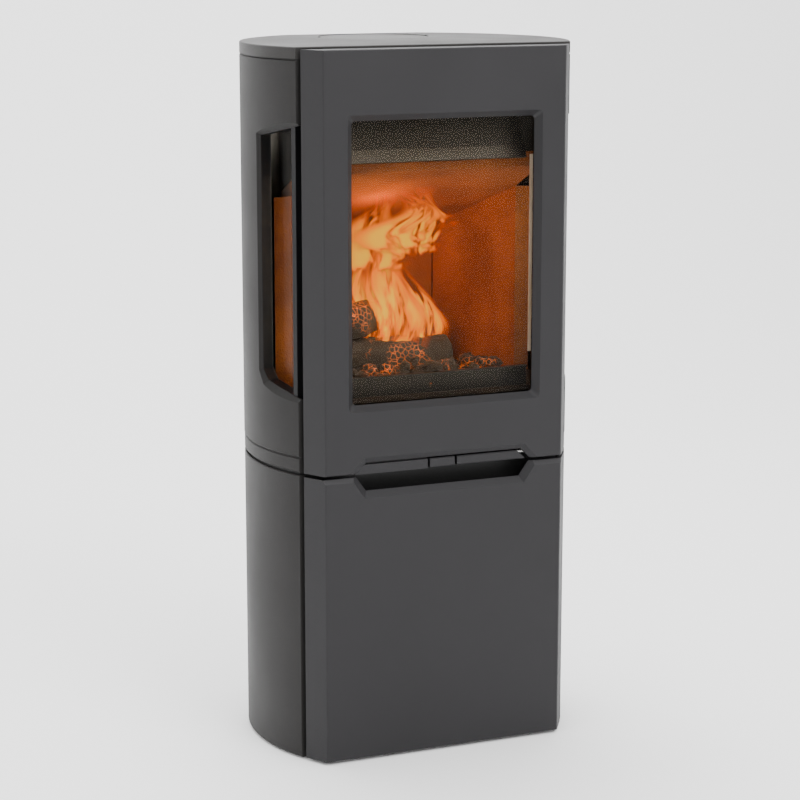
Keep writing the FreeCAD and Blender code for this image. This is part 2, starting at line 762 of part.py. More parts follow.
def handle():
    """Bar that is pulled forward from below, its shaft and the latch hook."""
    bar = new_body("handle_bar")
    shaft_start = knob_right + bar_gap + 4
    near = behind(recess_set)
    far = behind(recess_set + bar_depth)
    nip = 1.5
    pad(bar, "x", knob_right + bar_gap, handle_tip, [
        (near + nip, bar_low), (far, bar_low), (far, bar_high), (near + nip, bar_high),
        (near, bar_high - nip), (near, bar_low + nip),
    ])
    slope = bar_high - bar_low
    pocket(bar, "y", near - 1, far + 1, [
        (handle_tip + 1, bar_low), (handle_tip + 1, bar_high + 1),
        (handle_tip - slope - 1, bar_high + 1), (handle_tip, bar_low)])
    pocket(bar, "x", shaft_start, handle_tip + 1, (behind(shaft_set), shaft_level, shaft))
    node(bar, "handle_bar")
    node(rod("latch_shaft", "x", shaft_start, behind(shaft_set), shaft_level, shaft,
             177 - shaft_start), "latch_shaft")
    hook = new_body("latch_hook")
    axis_y = behind(shaft_set)
    pad(hook, "x", 169, 175, (axis_y, shaft_level, shaft + 2))
    pad(hook, "x", 169, 175, [
        (axis_y + 2, shaft_level - 4.4), (axis_y + 20.5, shaft_level - 5.5),
        (axis_y + 20.5, shaft_level + 3.4), (axis_y + 16.5, shaft_level + 3.4),
        (axis_y + 14, shaft_level), (axis_y + 2, shaft_level + 3)])
    pocket(hook, "x", 168, 176, (axis_y, shaft_level, shaft))
    node(hook, "latch_hook")
    bearings = []
    for count, low in enumerate((138.5, 158)):
        bearing = new_body("bearing_%d" % count)
        pad(bearing, "x", low, low + 8, box_outline(behind(door_wall), axis_y + 6,
                                                    shaft_level - 7, shaft_level + 8))
        pocket(bearing, "x", low - 1, low + 9, (axis_y, shaft_level, shaft + running))
        bearings.append(bearing)
    group("shaft_bearings", bearings)
    spring = doc.addObject("Part::Feature", "handle_spring")
    spring.Shape = coil(shaft.number + 1.1, 0.6, 2.2, 10)
    turn = FreeCAD.Rotation(Vector(0, 1, 0), 90)
    start = Vector(147.1, axis_y.number, shaft_level.number)
    spring.Placement = FreeCAD.Placement(start, turn)
    node(spring, "handle_spring")
    keeper = new_body("latch_keeper")
    pad(keeper, "x", 178, 183, box_outline(behind(24), behind(shell_front), 446, 457))
    node(keeper, "latch_keeper")
    node(rod("keeper_roller", "x", 166.5, behind(28), measure(452.2), 3, 11.5), "keeper_roller")


# ---------------------------------------------------------------- air control

def air_control():
    """Push-pull air knob in the middle of the recess, on a rod through the base."""
    middle = (knob_left + knob_right) / 2
    level = (bar_low + bar_high) / 2
    knob = new_body("air_knob")
    near = behind(recess_set)
    nip = 1.2
    pad(knob, "x", knob_left, knob_right, [
        (near + nip, bar_low), (near + 13, bar_low), (near + 13, bar_high), (near + nip, bar_high),
        (near, bar_high - nip), (near, bar_low + nip)])
    node(knob, "air_knob")
    node(rod("air_rod", "y", middle, near + 13, level, 4, 92), "air_rod")
    plate("air_shutter", "z", level + 4, level + 6,
          box_outline(middle - 30, middle + 30, behind(88), behind(142)))
    guide = new_body("air_rod_guide")
    pad(guide, "y", behind(shell_front), behind(shell_front + 9), (middle, level, 5.2))
    pocket(guide, "y", behind(shell_front - 1), behind(shell_front + 10),
           (middle, level, 4 + running))
    node(guide, "air_rod_guide")


# ---------------------------------------------------------------- firebox

def front_frame():
    body = new_body("front_frame")
    half = half_chord(radius - shell_wall, frame_set) - 8
    pad(body, "y", behind(frame_set), behind(frame_set + plate_wall),
        box_outline(-half, half, base_high, top_under),
        round_box(-mouth_half, mouth_half, mouth_low, mouth_high, measure(6)))
    return node(body, "front_frame")


def firebox_wall():
    """Folded steel wall behind the bricks, from one side window to the other."""
    left_side = []
    for side in (1, -1):
        outer = [(219.5, 145.5), (brick_wide + brick + 7, brick_front + 10),
                 (brick_narrow + brick + 7, brick_rear + 6), (108, collar_flange + sheet_steel)]
        inner = [(216.5, 141.5), (brick_wide + brick + 3.5, brick_front + 3.5),
                 (brick_narrow + brick + 3.5, brick_rear + 4), (106.5, collar_flange)]
        outer = [(side * measure(x), behind(y)) for x, y in outer]
        inner = [(side * measure(x), behind(y)) for x, y in inner]
        if side > 0:
            right_outer, right_inner = outer, inner
        else:
            left_outer, left_inner = outer, inner
    corners = right_outer + left_outer[::-1] + left_inner + right_inner[::-1]
    body = new_body("firebox_wall")
    pad(body, "z", base_high, top_under, corners)
    pocket(body, "y", behind(collar_flange - 25), behind(collar_flange + 7),
           (measure(0), flue_level, flue_bore + 5.4))
    return node(body, "firebox_wall")


def bricks():
    """Vermiculite side and back bricks; the baffle rests on them."""
    low = hearth_level + hearth_wall
    for side, word in ((-1, "left"), (1, "right")):
        body = new_body(word + "_brick")
        pad(body, "z", low, baffle_high + 30, [
            (side * brick_wide, behind(brick_front)), (side * brick_narrow, behind(brick_rear)),
            (side * (brick_narrow + brick), behind(brick_rear + 3)),
            (side * (brick_wide + brick), behind(brick_front + 3))])
        pocket(body, "x", -230, 230, baffle_profile(measure(0), measure(300), 20))
        node(body, word + "_brick")
    plate("back_brick", "y", behind(brick_rear + 5), behind(brick_rear + 5 + brick),
          box_outline(-brick_narrow, brick_narrow, low, baffle_low - 12))


def baffle_profile(lift, thick, beyond):
    """Sloping band in side view from the rear brick up to the front."""
    near = measure(72)
    far = brick_rear - 2
    slope = (baffle_high - baffle_low) / (far - near)
    return [
        (behind(near - beyond), baffle_high + lift + slope * beyond),
        (behind(far + beyond), baffle_low + lift - slope * beyond),
        (behind(far + beyond), baffle_low + lift + thick - slope * beyond),
        (behind(near - beyond), baffle_high + lift + thick + slope * beyond),
    ]


def firebox_fittings():
    strip = new_body("baffle_blank")
    pad(strip, "x", -180, 180, baffle_profile(measure(0), measure(22), 0))
    plan = new_body("baffle_plan")
    near_half = measure(176)
    wide_half = brick_wide + brick - 4
    far_half = brick_narrow + brick - 4
    pad(plan, "z", baffle_low - 40, baffle_high + 60, [
        (-near_half, behind(70)), (near_half, behind(70)), (wide_half, behind(brick_front)),
        (far_half, behind(brick_rear)), (-far_half, behind(brick_rear)),
        (-wide_half, behind(brick_front))])
    node(boolean("Common", "baffle", strip, plan), "baffle")
    deflector = new_body("deflector_blank")
    wall = sheet_steel
    frame_back = frame_set + plate_wall
    deflector_half = mouth_half - 15
    pad(deflector, "x", -deflector_half, deflector_half, [
        (behind(66), 942), (behind(59), 896), (behind(51), 878), (behind(53.5), 876.5),
        (behind(61.8), 895), (behind(66 + wall), 942), (behind(66 + wall), mouth_high + 12),
        (behind(frame_back), mouth_high + 12), (behind(frame_back), mouth_high + 12 - wall),
        (behind(66), mouth_high + 12 - wall)])
    trim = new_body("deflector_trim")
    pad(trim, "y", behind(45), behind(80), [
        (-deflector_half, 870), (deflector_half, 870), (deflector_half, 893),
        (mouth_half - 30, 944), (mouth_half - 30, mouth_high + 20),
        (30 - mouth_half, mouth_high + 20), (30 - mouth_half, 944), (-deflector_half, 893)])
    node(boolean("Common", "air_deflector", deflector, trim), "air_deflector")
    guard = new_body("log_guard")
    pad(guard, "x", 9 - mouth_half, mouth_half - 9, [
        (behind(57), hearth_level + hearth_wall), (behind(60), hearth_level + hearth_wall),
        (behind(60), measure(566)), (behind(53), measure(566)), (behind(53), measure(563)),
        (behind(57), measure(563))])
    node(guard, "log_guard")
    hearth = new_body("hearth_plate")
    pad(hearth, "z", hearth_level, hearth_level + hearth_wall, [
        (-190, behind(frame_back)), (190, behind(frame_back)),
        (brick_wide + brick + 2, behind(brick_front + 4)),
        (brick_narrow + brick + 2, behind(brick_rear + 4)), (brick_narrow - 20, behind(collar_flange - 5)),
        (-brick_narrow + 20, behind(collar_flange - 5)), (-brick_narrow - brick - 2, behind(brick_rear + 4)),
        (-brick_wide - brick - 2, behind(brick_front + 4))])
    ledge = 7
    step = hearth_level + 3
    pocket(hearth, "z", step, hearth_level + hearth_wall + 1,
           box_outline(-grate_half, grate_half, behind(grate_near), behind(grate_far)))
    pocket(hearth, "z", hearth_level - 1, step + 1,
           box_outline(-grate_half + ledge, grate_half - ledge, behind(grate_near + ledge),
                       behind(grate_far - ledge)))
    node(hearth, "hearth_plate")
    grate = new_body("grate")
    gap = 1
    pad(grate, "z", step, hearth_level + hearth_wall,
        box_outline(-grate_half + gap, grate_half - gap, behind(grate_near + gap),
                    behind(grate_far - gap)))
    slots = []
    for count in range(6):
        low = -grate_half + 14 + count * 22
        slots.append(box_outline(low, low + 9, behind(grate_near + 12), behind(grate_far - 12)))
    pocket(grate, "z", hearth_level - 1, hearth_level + hearth_wall + 1, *slots)
    node(grate, "grate")
    group("hearth_supports", [
        stand("hearth_support_%d" % count, x, y) for count, (x, y) in
        enumerate(((-130, 62), (130, 62), (-105, brick_rear - 22), (105, brick_rear - 22)))])
    group("edge_strips", [
        strip_box("edge_strip_left", -mouth_half, -mouth_half + 10),
        strip_box("edge_strip_right", mouth_half - 10, mouth_half)])
    posts = []
    for side in (-1, 1):
        post = stand("corner_post_%d" % (side + 1), side * (post_line - shell_wall),
                     frame_set + plate_wall + 4)
        bind(post, "Width", 8)
        bind(post, "Height", 405)
        bind(post, "Placement.Base.y", behind(frame_set + plate_wall))
        bind(post, "Placement.Base.z", hearth_level + hearth_wall)
        posts.append(post)
    group("corner_posts", posts)


def stand(name, x, y):
    """Square post between the base casting and the hearth plate."""
    post = doc.addObject("Part::Box", name)
    bind(post, "Length", 12)
    bind(post, "Width", 12)
    bind(post, "Height", hearth_level - base_high)
    bind(post, "Placement.Base.x", measure(x) - 6)
    bind(post, "Placement.Base.y", behind(y) - 6)
    bind(post, "Placement.Base.z", base_high)
    return post


def strip_box(name, left, right):
    """Bright steel strip inside the mouth, beside the side glass."""
    strip = doc.addObject("Part::Box", name)
    bind(strip, "Length", right - left)
    bind(strip, "Width", 2)
    bind(strip, "Height", 294)
    bind(strip, "Placement.Base.x", left)
    bind(strip, "Placement.Base.y", behind(frame_set + 2))
    bind(strip, "Placement.Base.z", 588)
    return strip


def ash_pan():
    body = new_body("ash_pan")
    pad(body, "z", pan_low, pan_high, box_outline(-pan_half, pan_half, behind(pan_near),
                                                  behind(pan_far)))
    wall = 1.5
    pocket(body, "z", pan_low + wall, pan_high + 1,
           box_outline(-pan_half + wall, pan_half - wall, behind(pan_near + wall),
                       behind(pan_far - wall)))
    node(body, "ash_pan")
    rails = []
    rail_near = frame_set + plate_wall
    for side in (-1, 1):
        rail = doc.addObject("Part::Box", "pan_rail_%d" % (side + 1))
        bind(rail, "Length", 12)
        bind(rail, "Width", pan_far - rail_near)
        bind(rail, "Height", pan_low - clear - base_high)
        bind(rail, "Placement.Base.x", side * (pan_half - 12) - 6)
        bind(rail, "Placement.Base.y", behind(rail_near))
        bind(rail, "Placement.Base.z", base_high)
        rails.append(rail)
    group("pan_rails", rails)


# ---------------------------------------------------------------- back

def rear_panel(label, low, high, hole, levels):
    """Folded sheet that closes the flat back between the side castings."""
    corner = half_chord(radius, depth)
    end = half_chord(radius, back_ends) - 4
    inner = thin_sheet
    body = new_body(label)
    pad(body, "z", low, high, [
        (end, behind(back_ends + 2)), (corner, behind(back_set)), (-corner, behind(back_set)),
        (-end, behind(back_ends + 2)), (-end, behind(back_ends + 2 - inner)),
        (-corner, behind(back_set - inner)), (corner, behind(back_set - inner)),
        (end, behind(back_ends + 2 - inner))])
    if hole:
        pocket(body, "y", behind(back_ends), behind(depth), (measure(0), flue_level, flue_bore + 6))
    for level in levels:
        for side in (-1, 1):
            pocket(body, "y", behind(back_ends), behind(depth), (measure(side * 98), level, 1.6))
    return node(body, label)


LOWER_FIXINGS = (40, 215, 395)
UPPER_FIXINGS = (490, 660, 1000)


def rear_screws():
    """Screws along both edges of the rear panels."""
    bolts = []
    places = [(side, level) for level in LOWER_FIXINGS + UPPER_FIXINGS for side in (-1, 1)]
    for count, (side, level) in enumerate(places):
        bolts.append(screw("rear_screw_%d" % count, side * 98, behind(back_set - thin_sheet),
                           level, 6, 3.4, 1.6, 1.8))
    group("rear_screws", bolts)


def flue_collar():
    """Turned ring that the flue pipe pushes into."""
    body = new_body("rear_flue_collar")
    face = collar_flange - 3.5
    pad(body, "y", behind(collar_flange), behind(depth), (measure(0), flue_level, flue_bore + 5))
    pad(body, "y", behind(face), behind(collar_flange), (measure(0), flue_level, flue_bore + 17))
    pocket(body, "y", behind(face - 1.5), behind(depth + 1), (measure(0), flue_level, flue_bore))
    return node(body, "rear_flue_collar")


# ---------------------------------------------------------------- pedestal

FEET = ((-150, 85), (150, 85), (-105, depth - 60), (105, depth - 60))


def pedestal():
    inner = radius - shell_wall
    for side, word in ((-1, "left"), (1, "right")):
        shell = plate("pedestal_%s_shell" % word, "z", floor_gap, pedestal_top,
                      side_wall(side, radius - 0.4, inner, shell_front, back_ends))
        soften(shell, 1.5, lambda edge: rim_edge(edge, radius - 0.4, floor_gap, pedestal_top))
    for label, low, lip_low, lip_high in (
            ("pedestal_floor", shelf_level, shelf_level, shelf_level + 42),
            ("pedestal_roof", pedestal_top - plate_wall, pedestal_top - 46, pedestal_top)):
        body = new_body(label)
        pad(body, "z", low, low + plate_wall, full_plan(shell_wall, sweep_back))
        half = half_chord(inner, sweep_back) - 2
        pad(body, "y", behind(sweep_back), behind(sweep_back + 3),
            box_outline(-half, half, lip_low, lip_high))
        if label == "pedestal_roof":
            pad(body, "z", pedestal_top, base_low, full_plan(measure(6), shell_front + 6))
        else:
            for x, y in FEET:
                pocket(body, "z", low - 1, low + plate_wall + 1, (measure(x), behind(y), 5))
        node(body, label)
    feet = []
    for count, (x, y) in enumerate(FEET):
        pad_disc = rod("foot_pad_%d" % count, "z", x, behind(y), 0, foot_pad, 6)
        stem = rod("foot_stem_%d" % count, "z", x, behind(y), 6, 5, shelf_level + 18)
        feet.append(boolean("Fuse", "foot_%d" % count, pad_disc, stem))
    group("levelling_feet", feet)
    plate("magnet_catch", "z", measure(396), measure(408),
          box_outline(158, 180, behind(door_wall + 3), behind(sweep_back)))
    plate("catch_striker", "y", behind(door_wall), behind(door_wall + 2.5),
          box_outline(156, 181, 394, 410))


upper_shell(-1, "left_shell")
upper_shell(1, "right_shell")
side_windows()
top_plate()
flue_cover()
base_plate()
fire_door()
door_fittings()
handle()
hinges("fire_door", ((444, 444, 24, shell_front), (990, 973, 25, frame_set)))
hinges("pedestal_door", ((20, 20, 24, sweep_back), (395, 378, 25, sweep_back)))
air_control()
front_frame()
firebox_wall()
bricks()
firebox_fittings()
ash_pan()
rear_panel("rear_panel", shell_low, shell_high, True, UPPER_FIXINGS)
rear_panel("pedestal_back", floor_gap, pedestal_top, False, LOWER_FIXINGS)
flue_collar()
rear_screws()
pedestal()
pedestal_door()

doc.recompute()

# ---------------------------------------------------------------- checks and files

faults = []
for item in doc.Objects:
    if "Invalid" in item.State or "Error" in item.State:
        faults.append("%s is not valid: %s" % (item.Label, item.State))
for before, after in cuts:
    if after.Shape.Volume >= before.Shape.Volume - 1e-3:
        faults.append("%s cuts nothing" % after.Name)
for item in nodes:
    if item.Shape.isNull() or not item.Shape.isValid() or not item.Shape.Solids:
        faults.append("%s has no valid solid" % item.Label)
if faults:
    raise RuntimeError("\n".join(faults))

os.makedirs("parts", exist_ok=True)
for item in nodes:
    item.Shape.exportStep("parts/%s.step" % item.Label)
print("%d nodes" % len(nodes))
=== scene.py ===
import math
import random

import bmesh
import bpy
from mathutils import Matrix, Vector, noise


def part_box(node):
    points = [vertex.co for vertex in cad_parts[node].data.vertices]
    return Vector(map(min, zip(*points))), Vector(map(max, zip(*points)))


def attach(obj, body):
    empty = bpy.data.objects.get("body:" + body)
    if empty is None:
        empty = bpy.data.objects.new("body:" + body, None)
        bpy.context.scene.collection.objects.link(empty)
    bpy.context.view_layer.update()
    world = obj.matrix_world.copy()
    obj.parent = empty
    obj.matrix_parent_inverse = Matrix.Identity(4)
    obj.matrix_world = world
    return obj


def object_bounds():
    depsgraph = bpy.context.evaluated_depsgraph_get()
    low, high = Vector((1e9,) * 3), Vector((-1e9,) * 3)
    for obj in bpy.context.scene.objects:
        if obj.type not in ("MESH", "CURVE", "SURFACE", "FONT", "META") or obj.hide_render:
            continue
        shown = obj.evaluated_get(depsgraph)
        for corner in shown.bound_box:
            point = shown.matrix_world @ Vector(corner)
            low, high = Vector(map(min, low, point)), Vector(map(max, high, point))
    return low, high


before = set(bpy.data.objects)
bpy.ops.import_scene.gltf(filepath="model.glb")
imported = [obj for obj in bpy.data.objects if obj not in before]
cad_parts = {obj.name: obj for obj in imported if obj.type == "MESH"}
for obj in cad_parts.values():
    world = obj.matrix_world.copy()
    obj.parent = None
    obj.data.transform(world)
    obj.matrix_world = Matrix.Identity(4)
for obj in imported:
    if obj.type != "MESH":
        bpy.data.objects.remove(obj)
cad_box = [list(corner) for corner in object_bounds()]


# The casting finish. Every large outer part is fine-grained grey iron, shot
# blasted and sprayed with matt heat-resistant paint, so it has a tight sandy
# grain and slow drifts in tone.
def new_finish(name):
    """Empty finish with its nodes, its link call and its shader."""
    finish = bpy.data.materials.new(name)
    finish.use_nodes = True
    nodes = finish.node_tree.nodes
    return finish, nodes, finish.node_tree.links.new, nodes["Principled BSDF"]


def painted_grain():
    """Node group: sandy grain and slow tone drifts of sprayed stove paint."""
    group = bpy.data.node_groups.new("painted_grain", "ShaderNodeTree")
    face = group.interface
    face.new_socket("Tone", in_out="INPUT", socket_type="NodeSocketColor")
    face.new_socket("Grain Size", in_out="INPUT", socket_type="NodeSocketFloat").default_value = 700
    face.new_socket("Grain Height", in_out="INPUT", socket_type="NodeSocketFloat").default_value = 0.2
    face.new_socket("Sheen Low", in_out="INPUT", socket_type="NodeSocketFloat").default_value = 0.45
    face.new_socket("Sheen High", in_out="INPUT", socket_type="NodeSocketFloat").default_value = 0.6
    face.new_socket("Color", in_out="OUTPUT", socket_type="NodeSocketColor")
    face.new_socket("Roughness", in_out="OUTPUT", socket_type="NodeSocketFloat")
    face.new_socket("Normal", in_out="OUTPUT", socket_type="NodeSocketVector")
    add = group.nodes.new
    link = group.links.new
    given = add("NodeGroupInput")
    out = add("NodeGroupOutput")
    place = add("ShaderNodeTexCoord")
    grain = add("ShaderNodeTexNoise")
    grain.inputs["Detail"].default_value = 3
    grain.inputs["Roughness"].default_value = 0.65
    link(place.outputs["Object"], grain.inputs["Vector"])
    link(given.outputs["Grain Size"], grain.inputs["Scale"])
    pits = add("ShaderNodeTexVoronoi")
    pits.inputs["Scale"].default_value = 260
    link(place.outputs["Object"], pits.inputs["Vector"])
    drift = add("ShaderNodeTexNoise")
    drift.inputs["Scale"].default_value = 5
    drift.inputs["Detail"].default_value = 4
    link(place.outputs["Object"], drift.inputs["Vector"])
    light = add("ShaderNodeMapRange")
    light.inputs["From Min"].default_value = 0.3
    light.inputs["From Max"].default_value = 0.7
    light.inputs["To Min"].default_value = 0.9
    light.inputs["To Max"].default_value = 1.12
    link(drift.outputs["Fac"], light.inputs["Value"])
    speck = add("ShaderNodeMapRange")
    speck.inputs["From Min"].default_value = 0.3
    speck.inputs["From Max"].default_value = 0.7
    speck.inputs["To Min"].default_value = 0.86
    speck.inputs["To Max"].default_value = 1.14
    link(grain.outputs["Fac"], speck.inputs["Value"])
    both = add("ShaderNodeMath")
    both.operation = "MULTIPLY"
    link(light.outputs["Result"], both.inputs[0])
    link(speck.outputs["Result"], both.inputs[1])
    shade = add("ShaderNodeVectorMath")
    shade.operation = "SCALE"
    link(given.outputs["Tone"], shade.inputs[0])
    link(both.outputs["Value"], shade.inputs["Scale"])
    link(shade.outputs["Vector"], out.inputs["Color"])
    sheen = add("ShaderNodeMapRange")
    sheen.inputs["From Min"].default_value = 0.3
    sheen.inputs["From Max"].default_value = 0.7
    link(drift.outputs["Fac"], sheen.inputs["Value"])
    link(given.outputs["Sheen Low"], sheen.inputs["To Min"])
    link(given.outputs["Sheen High"], sheen.inputs["To Max"])
    link(sheen.outputs["Result"], out.inputs["Roughness"])
    height = add("ShaderNodeMath")
    height.operation = "MULTIPLY_ADD"
    height.inputs[1].default_value = 0.35
    link(pits.outputs["Distance"], height.inputs[0])
    link(grain.outputs["Fac"], height.inputs[2])
    bump = add("ShaderNodeBump")
    bump.inputs["Distance"].default_value = 0.0006
    link(given.outputs["Grain Height"], bump.inputs["Strength"])
    link(height.outputs["Value"], bump.inputs["Height"])
    link(bump.outputs["Normal"], out.inputs["Normal"])
    return group


GRAIN = painted_grain()


def painted(name, tone, size, height, sheen, metallic=0.0):
    """Paint finish built on the shared grain."""
    finish, nodes, link, shader = new_finish(name)
    shader.inputs["Metallic"].default_value = metallic
    shader.inputs["Specular IOR Level"].default_value = 0.25
    grain = nodes.new("ShaderNodeGroup")
    grain.node_tree = GRAIN
    grain.inputs["Tone"].default_value = (*tone, 1)
    grain.inputs["Grain Size"].default_value = size
    grain.inputs["Grain Height"].default_value = height
    grain.inputs["Sheen Low"].default_value = sheen[0]
    grain.inputs["Sheen High"].default_value = sheen[1]
    link(grain.outputs["Color"], shader.inputs["Base Color"])
    link(grain.outputs["Roughness"], shader.inputs["Roughness"])
    link(grain.outputs["Normal"], shader.inputs["Normal"])
    return finish


def dress(finish, *names):
    """Put a finish on the parts that keep their shape."""
    for name in names:
        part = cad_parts[name]
        part.data.materials.clear()
        part.data.materials.append(finish)
        for face in part.data.polygons:
            face.material_index = 0


casting_paint = painted("casting_paint", (0.0122, 0.0116, 0.0128), 900, 0.22, (0.44, 0.56))
dress(casting_paint, "fire_door", "pedestal_door", "air_knob", "handle_bar", "rear_flue_collar")

# The round side castings and the base ring come from the same foundry pattern family and carry the door's
# paint. Their tone is painted darker and slightly warmer than the door's, as painted shade on the sides
# turned away from the light, and their sheen is slightly flatter.
side_shaded_paint = painted("side_shaded_paint", (0.0075, 0.0066, 0.0062), 800, 0.25, (0.48, 0.6))
dress(side_shaded_paint, "left_shell", "right_shell", "pedestal_left_shell", "pedestal_right_shell",
      "base_plate")

# The top plate is the hottest casting, with the coarsest grain of the outer
# paints. The loose round cover over the spare flue outlet is the same iron.
# Its tone is painted lighter than the door's, as a painted highlight for the light falling on the
# upward-facing top.
top_lit_paint = painted("top_lit_paint", (0.016, 0.0148, 0.014), 650, 0.35, (0.4, 0.55))
dress(top_lit_paint, "top_plate", "flue_cover")

# Side window casings, the glass retainer, the frame and the small fittings
# are painted deep black, smoother than the castings.
black_paint = painted("black_paint", (0.004, 0.004, 0.0045), 1200, 0.1, (0.38, 0.5))
dress(black_paint, "left_window_casing", "right_window_casing", "glass_retainer", "front_frame",
      "corner_posts", "latch_keeper", "magnet_catch", "air_rod_guide", "air_shutter",
      "shaft_bearings", "fire_door_hinge_brackets", "pedestal_door_hinge_brackets",
      "hearth_supports", "pan_rails", "levelling_feet")

# The back panels, firebox wall, ash pan and pedestal sheets are folded steel,
# painted before assembly, with a faint orange-peel surface.
sheet_paint = painted("sheet_paint", (0.010, 0.0098, 0.0098), 350, 0.12, (0.4, 0.52))
dress(sheet_paint, "firebox_wall", "rear_panel", "pedestal_back", "pedestal_floor",
      "pedestal_roof", "ash_pan")

# The deflector that washes air down the glass and the log guard are bent from
# blued steel sheet, which goes slate grey with heat.
heated_steel = painted("heated_steel", (0.008, 0.009, 0.011), 1500, 0.04, (0.3, 0.42), 0.3)
dress(heated_steel, "air_deflector", "log_guard")


# Bare steel parts are turned or ground and left unpainted: pins, shaft, rod,
# hook and the edge strips. Grinding leaves fine lines along the part.
def ground_steel(name, tone, along, rough):
    """Bare steel with fine grinding lines along one direction."""
    finish, nodes, link, shader = new_finish(name)
    shader.inputs["Metallic"].default_value = 1.0
    place = nodes.new("ShaderNodeTexCoord")
    stretch = nodes.new("ShaderNodeMapping")
    stretch.inputs["Scale"].default_value = along
    lines = nodes.new("ShaderNodeTexNoise")
    lines.inputs["Scale"].default_value = 60
    lines.inputs["Detail"].default_value = 5
    link(place.outputs["Object"], stretch.inputs["Vector"])
    link(stretch.outputs["Vector"], lines.inputs["Vector"])
    ramp = nodes.new("ShaderNodeValToRGB")
    ramp.color_ramp.elements[0].position = 0.3
    ramp.color_ramp.elements[0].color = (*[c * 0.8 for c in tone], 1)
    ramp.color_ramp.elements[1].position = 0.7
    ramp.color_ramp.elements[1].color = (*tone, 1)
    link(lines.outputs["Fac"], ramp.inputs["Fac"])
    link(ramp.outputs["Color"], shader.inputs["Base Color"])
    spread = nodes.new("ShaderNodeMapRange")
    spread.inputs["To Min"].default_value = rough
    spread.inputs["To Max"].default_value = rough + 0.2
    link(lines.outputs["Fac"], spread.inputs["Value"])
    link(spread.outputs["Result"], shader.inputs["Roughness"])
    bump = nodes.new("ShaderNodeBump")
    bump.inputs["Strength"].default_value = 0.1
    bump.inputs["Distance"].default_value = 0.0003
    link(lines.outputs["Fac"], bump.inputs["Height"])
    link(bump.outputs["Normal"], shader.inputs["Normal"])
    return finish


pin_steel = ground_steel("pin_steel", (0.6, 0.59, 0.57), (1, 12, 12), 0.25)
dress(pin_steel, "air_rod", "latch_shaft", "latch_hook", "keeper_roller", "fire_door_hinge_pins",
      "pedestal_door_hinge_pins", "handle_spring", "retainer_screws", "rear_screws",
      "catch_striker")
# The edge strips' steel is painted near white, much lighter than the pins' steel, as a painted reflection
# of the bright studio seen in the strips.
strip_reflection_steel = ground_steel("strip_reflection_steel", (0.95, 0.93, 0.9), (12, 12, 1), 0.6)
dress(strip_reflection_steel, "edge_strips")

# Ceramic glass in the door and in both side windows. It is clear, 4 mm thick,
# with the slight amber tint of glass ceramic and a trace of flying ash inside.
pane_glass, nodes, link, shader = new_finish("pane_glass")
shader.inputs["Transmission Weight"].default_value = 1.0
shader.inputs["IOR"].default_value = 1.12
shader.inputs["Roughness"].default_value = 0.02
place = nodes.new("ShaderNodeTexCoord")
ash = nodes.new("ShaderNodeTexNoise")
ash.inputs["Scale"].default_value = 9
ash.inputs["Detail"].default_value = 6
link(place.outputs["Object"], ash.inputs["Vector"])
tint = nodes.new("ShaderNodeValToRGB")
tint.color_ramp.elements[0].position = 0.35
tint.color_ramp.elements[0].color = (0.97, 0.86, 0.70, 1)
tint.color_ramp.elements[1].position = 0.7
tint.color_ramp.elements[1].color = (1.0, 0.92, 0.80, 1)
link(ash.outputs["Fac"], tint.inputs["Fac"])
link(tint.outputs["Color"], shader.inputs["Base Color"])
dress(pane_glass, "door_glass", "left_side_glass", "right_side_glass")


# Rope seals are round braided glass-fibre cord, dyed black and glued into
# their seats. The braid shows as slanting ribs.
rope_braid, nodes, link, shader = new_finish("rope_braid")
shader.inputs["Roughness"].default_value = 0.95
place = nodes.new("ShaderNodeTexCoord")
weave = nodes.new("ShaderNodeTexWave")
weave.wave_type = "BANDS"
weave.bands_direction = "DIAGONAL"
weave.inputs["Scale"].default_value = 160
weave.inputs["Distortion"].default_value = 1.5
weave.inputs["Detail"].default_value = 2
link(place.outputs["Object"], weave.inputs["Vector"])
tone = nodes.new("ShaderNodeValToRGB")
tone.color_ramp.elements[0].color = (0.012, 0.012, 0.013, 1)
tone.color_ramp.elements[1].color = (0.055, 0.053, 0.05, 1)
link(weave.outputs["Color"], tone.inputs["Fac"])
link(tone.outputs["Color"], shader.inputs["Base Color"])
bump = nodes.new("ShaderNodeBump")
bump.inputs["Strength"].default_value = 0.6
bump.inputs["Distance"].default_value = 0.001
link(weave.outputs["Fac"], bump.inputs["Height"])
link(bump.outputs["Normal"], shader.inputs["Normal"])
dress(rope_braid, "door_rope", "glass_rope", "side_glass_ropes")

# The firebox lining is pressed vermiculite board: side bricks, back brick and baffle. Its flaky grain is
# coloured dark rust orange, a painted glow of the fire's light on the light grey-brown board, and
# darkened in random patches of soot.
brick_board_fire_glow, nodes, link, shader = new_finish("brick_board_fire_glow")
shader.inputs["Roughness"].default_value = 0.9
place = nodes.new("ShaderNodeTexCoord")
flakes = nodes.new("ShaderNodeTexVoronoi")
flakes.inputs["Scale"].default_value = 420
flakes.inputs["Randomness"].default_value = 1.0
link(place.outputs["Object"], flakes.inputs["Vector"])
soot = nodes.new("ShaderNodeTexNoise")
soot.inputs["Scale"].default_value = 7
soot.inputs["Detail"].default_value = 5
link(place.outputs["Object"], soot.inputs["Vector"])
